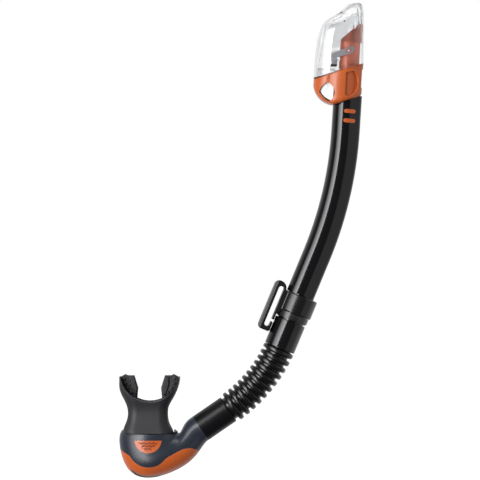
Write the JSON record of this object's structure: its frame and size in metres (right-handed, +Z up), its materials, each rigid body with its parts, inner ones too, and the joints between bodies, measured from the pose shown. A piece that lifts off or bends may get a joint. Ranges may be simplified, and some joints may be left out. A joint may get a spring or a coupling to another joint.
{
  "type": "dry-top snorkel tube",
  "caption": "Dry-top snorkel: mouthpiece, purge chamber, corrugated hose, swivel, strap keeper, curved barrel, and a clear hood with float and lever valve.",
  "frame": {"origin": "centre of the keeper's strap slot, where the mask strap holds the snorkel", "axes": "+Z up along the snorkel as worn, +X from the mouthpiece towards the barrel's convex side, +Y across the thin direction, away from the front side"},
  "size_m": [0.2301, 0.0402, 0.4461],
  "materials": {
    "barrel_black": "high-gloss injection-moulded ABS",
    "clear_shell": "clear polished polycarbonate",
    "clear_inner": "clear polycarbonate, inner duct",
    "orange_gloss": "glossy orange plastic",
    "orange_inner": "orange plastic, seen through the hood",
    "lever_grey": "grey acetal",
    "float_white": "white closed-cell float",
    "seal_rubber": "dark silicone seal",
    "seal_white": "white silicone seal",
    "pin_plastic": "acetal pins",
    "keeper_black": "satin black plastic",
    "coupling_black": "satin black plastic",
    "hose_rubber": "glossy black silicone hose",
    "cuff_black": "glossy black silicone cuff",
    "chamber_grey": "glossy blue-grey plastic",
    "trim_black": "black plastic trim",
    "valve_silicone": "translucent silicone",
    "seat_grey": "grey plastic",
    "mouth_silicone": "matte charcoal silicone"
  },
  "bodies": {
    "keeper": {"strap_keeper": "keeper_black"},
    "barrel": {"barrel": "barrel_black", "barrel_accents": "orange_gloss", "swivel_ring": "coupling_black", "swivel_o_ring": "seal_rubber", "dry_top_hood": "clear_shell", "float_housing": "orange_gloss", "intake_tube": "orange_inner", "port_duct": "clear_inner", "lever_pivot_pins": "pin_plastic", "head_o_ring": "seal_rubber"},
    "float": {"float": "float_white"},
    "lever": {"valve_lever": "lever_grey", "float_bumper": "seal_rubber", "valve_seal": "seal_white"},
    "coupling": {"swivel_coupling": "coupling_black", "flex_hose": "hose_rubber"},
    "chamber": {"hose_cuff": "cuff_black", "chamber_shell": "chamber_grey", "purge_cover": "orange_gloss", "purge_grille": "trim_black", "purge_seat": "seat_grey", "badge_front": "orange_gloss", "badge_back": "orange_gloss", "mouthpiece": "mouth_silicone", "mouthpiece_ring": "seat_grey", "bite_tab_left": "mouth_silicone", "bite_tab_right": "mouth_silicone"},
    "purge_valve": {"purge_valve": "valve_silicone"}
  },
  "joints": [
    {"name": "keeper_swivel", "type": "hinge", "parent": "keeper", "child": "barrel", "pos_m": [0.01848, 0, -0.00765], "axis": [0.3827, 0, 0.9239], "range_deg": [-40, 40]},
    {"name": "hose_swivel", "type": "hinge", "parent": "barrel", "child": "coupling", "pos_m": [0.01848, 0, -0.00765], "axis": [0.3827, 0, 0.9239], "continuous": true},
    {"name": "hose_flex", "type": "hinge", "parent": "coupling", "child": "chamber", "pos_m": [-0.01354, 0, -0.07032], "axis": [0, 1, 0], "range_deg": [-25, 25], "stiffness_Nm_per_rad": 1.5, "springref_deg": 2.29, "deforming": ["flex_hose"]},
    {"name": "float_slide", "type": "slide", "parent": "barrel", "child": "float", "axis": [0.0628, 0, 0.998], "range_m": [0, 0.0029]},
    {"name": "lever_pivot", "type": "hinge", "parent": "barrel", "child": "lever", "pos_m": [0.06973, 0, 0.23902], "axis": [0, 1, 0], "range_deg": [0, 12.1]},
    {"name": "purge_lift", "type": "slide", "parent": "chamber", "child": "purge_valve", "axis": [0, 0, -1], "range_m": [0, 0.0015], "stiffness_N_per_m": 200, "springref_m": -0.0005}
  ],
  "couplings": [
    {"joint": "lever_pivot", "follows": "float_slide", "rad_per_m": 72.221}
  ]
}
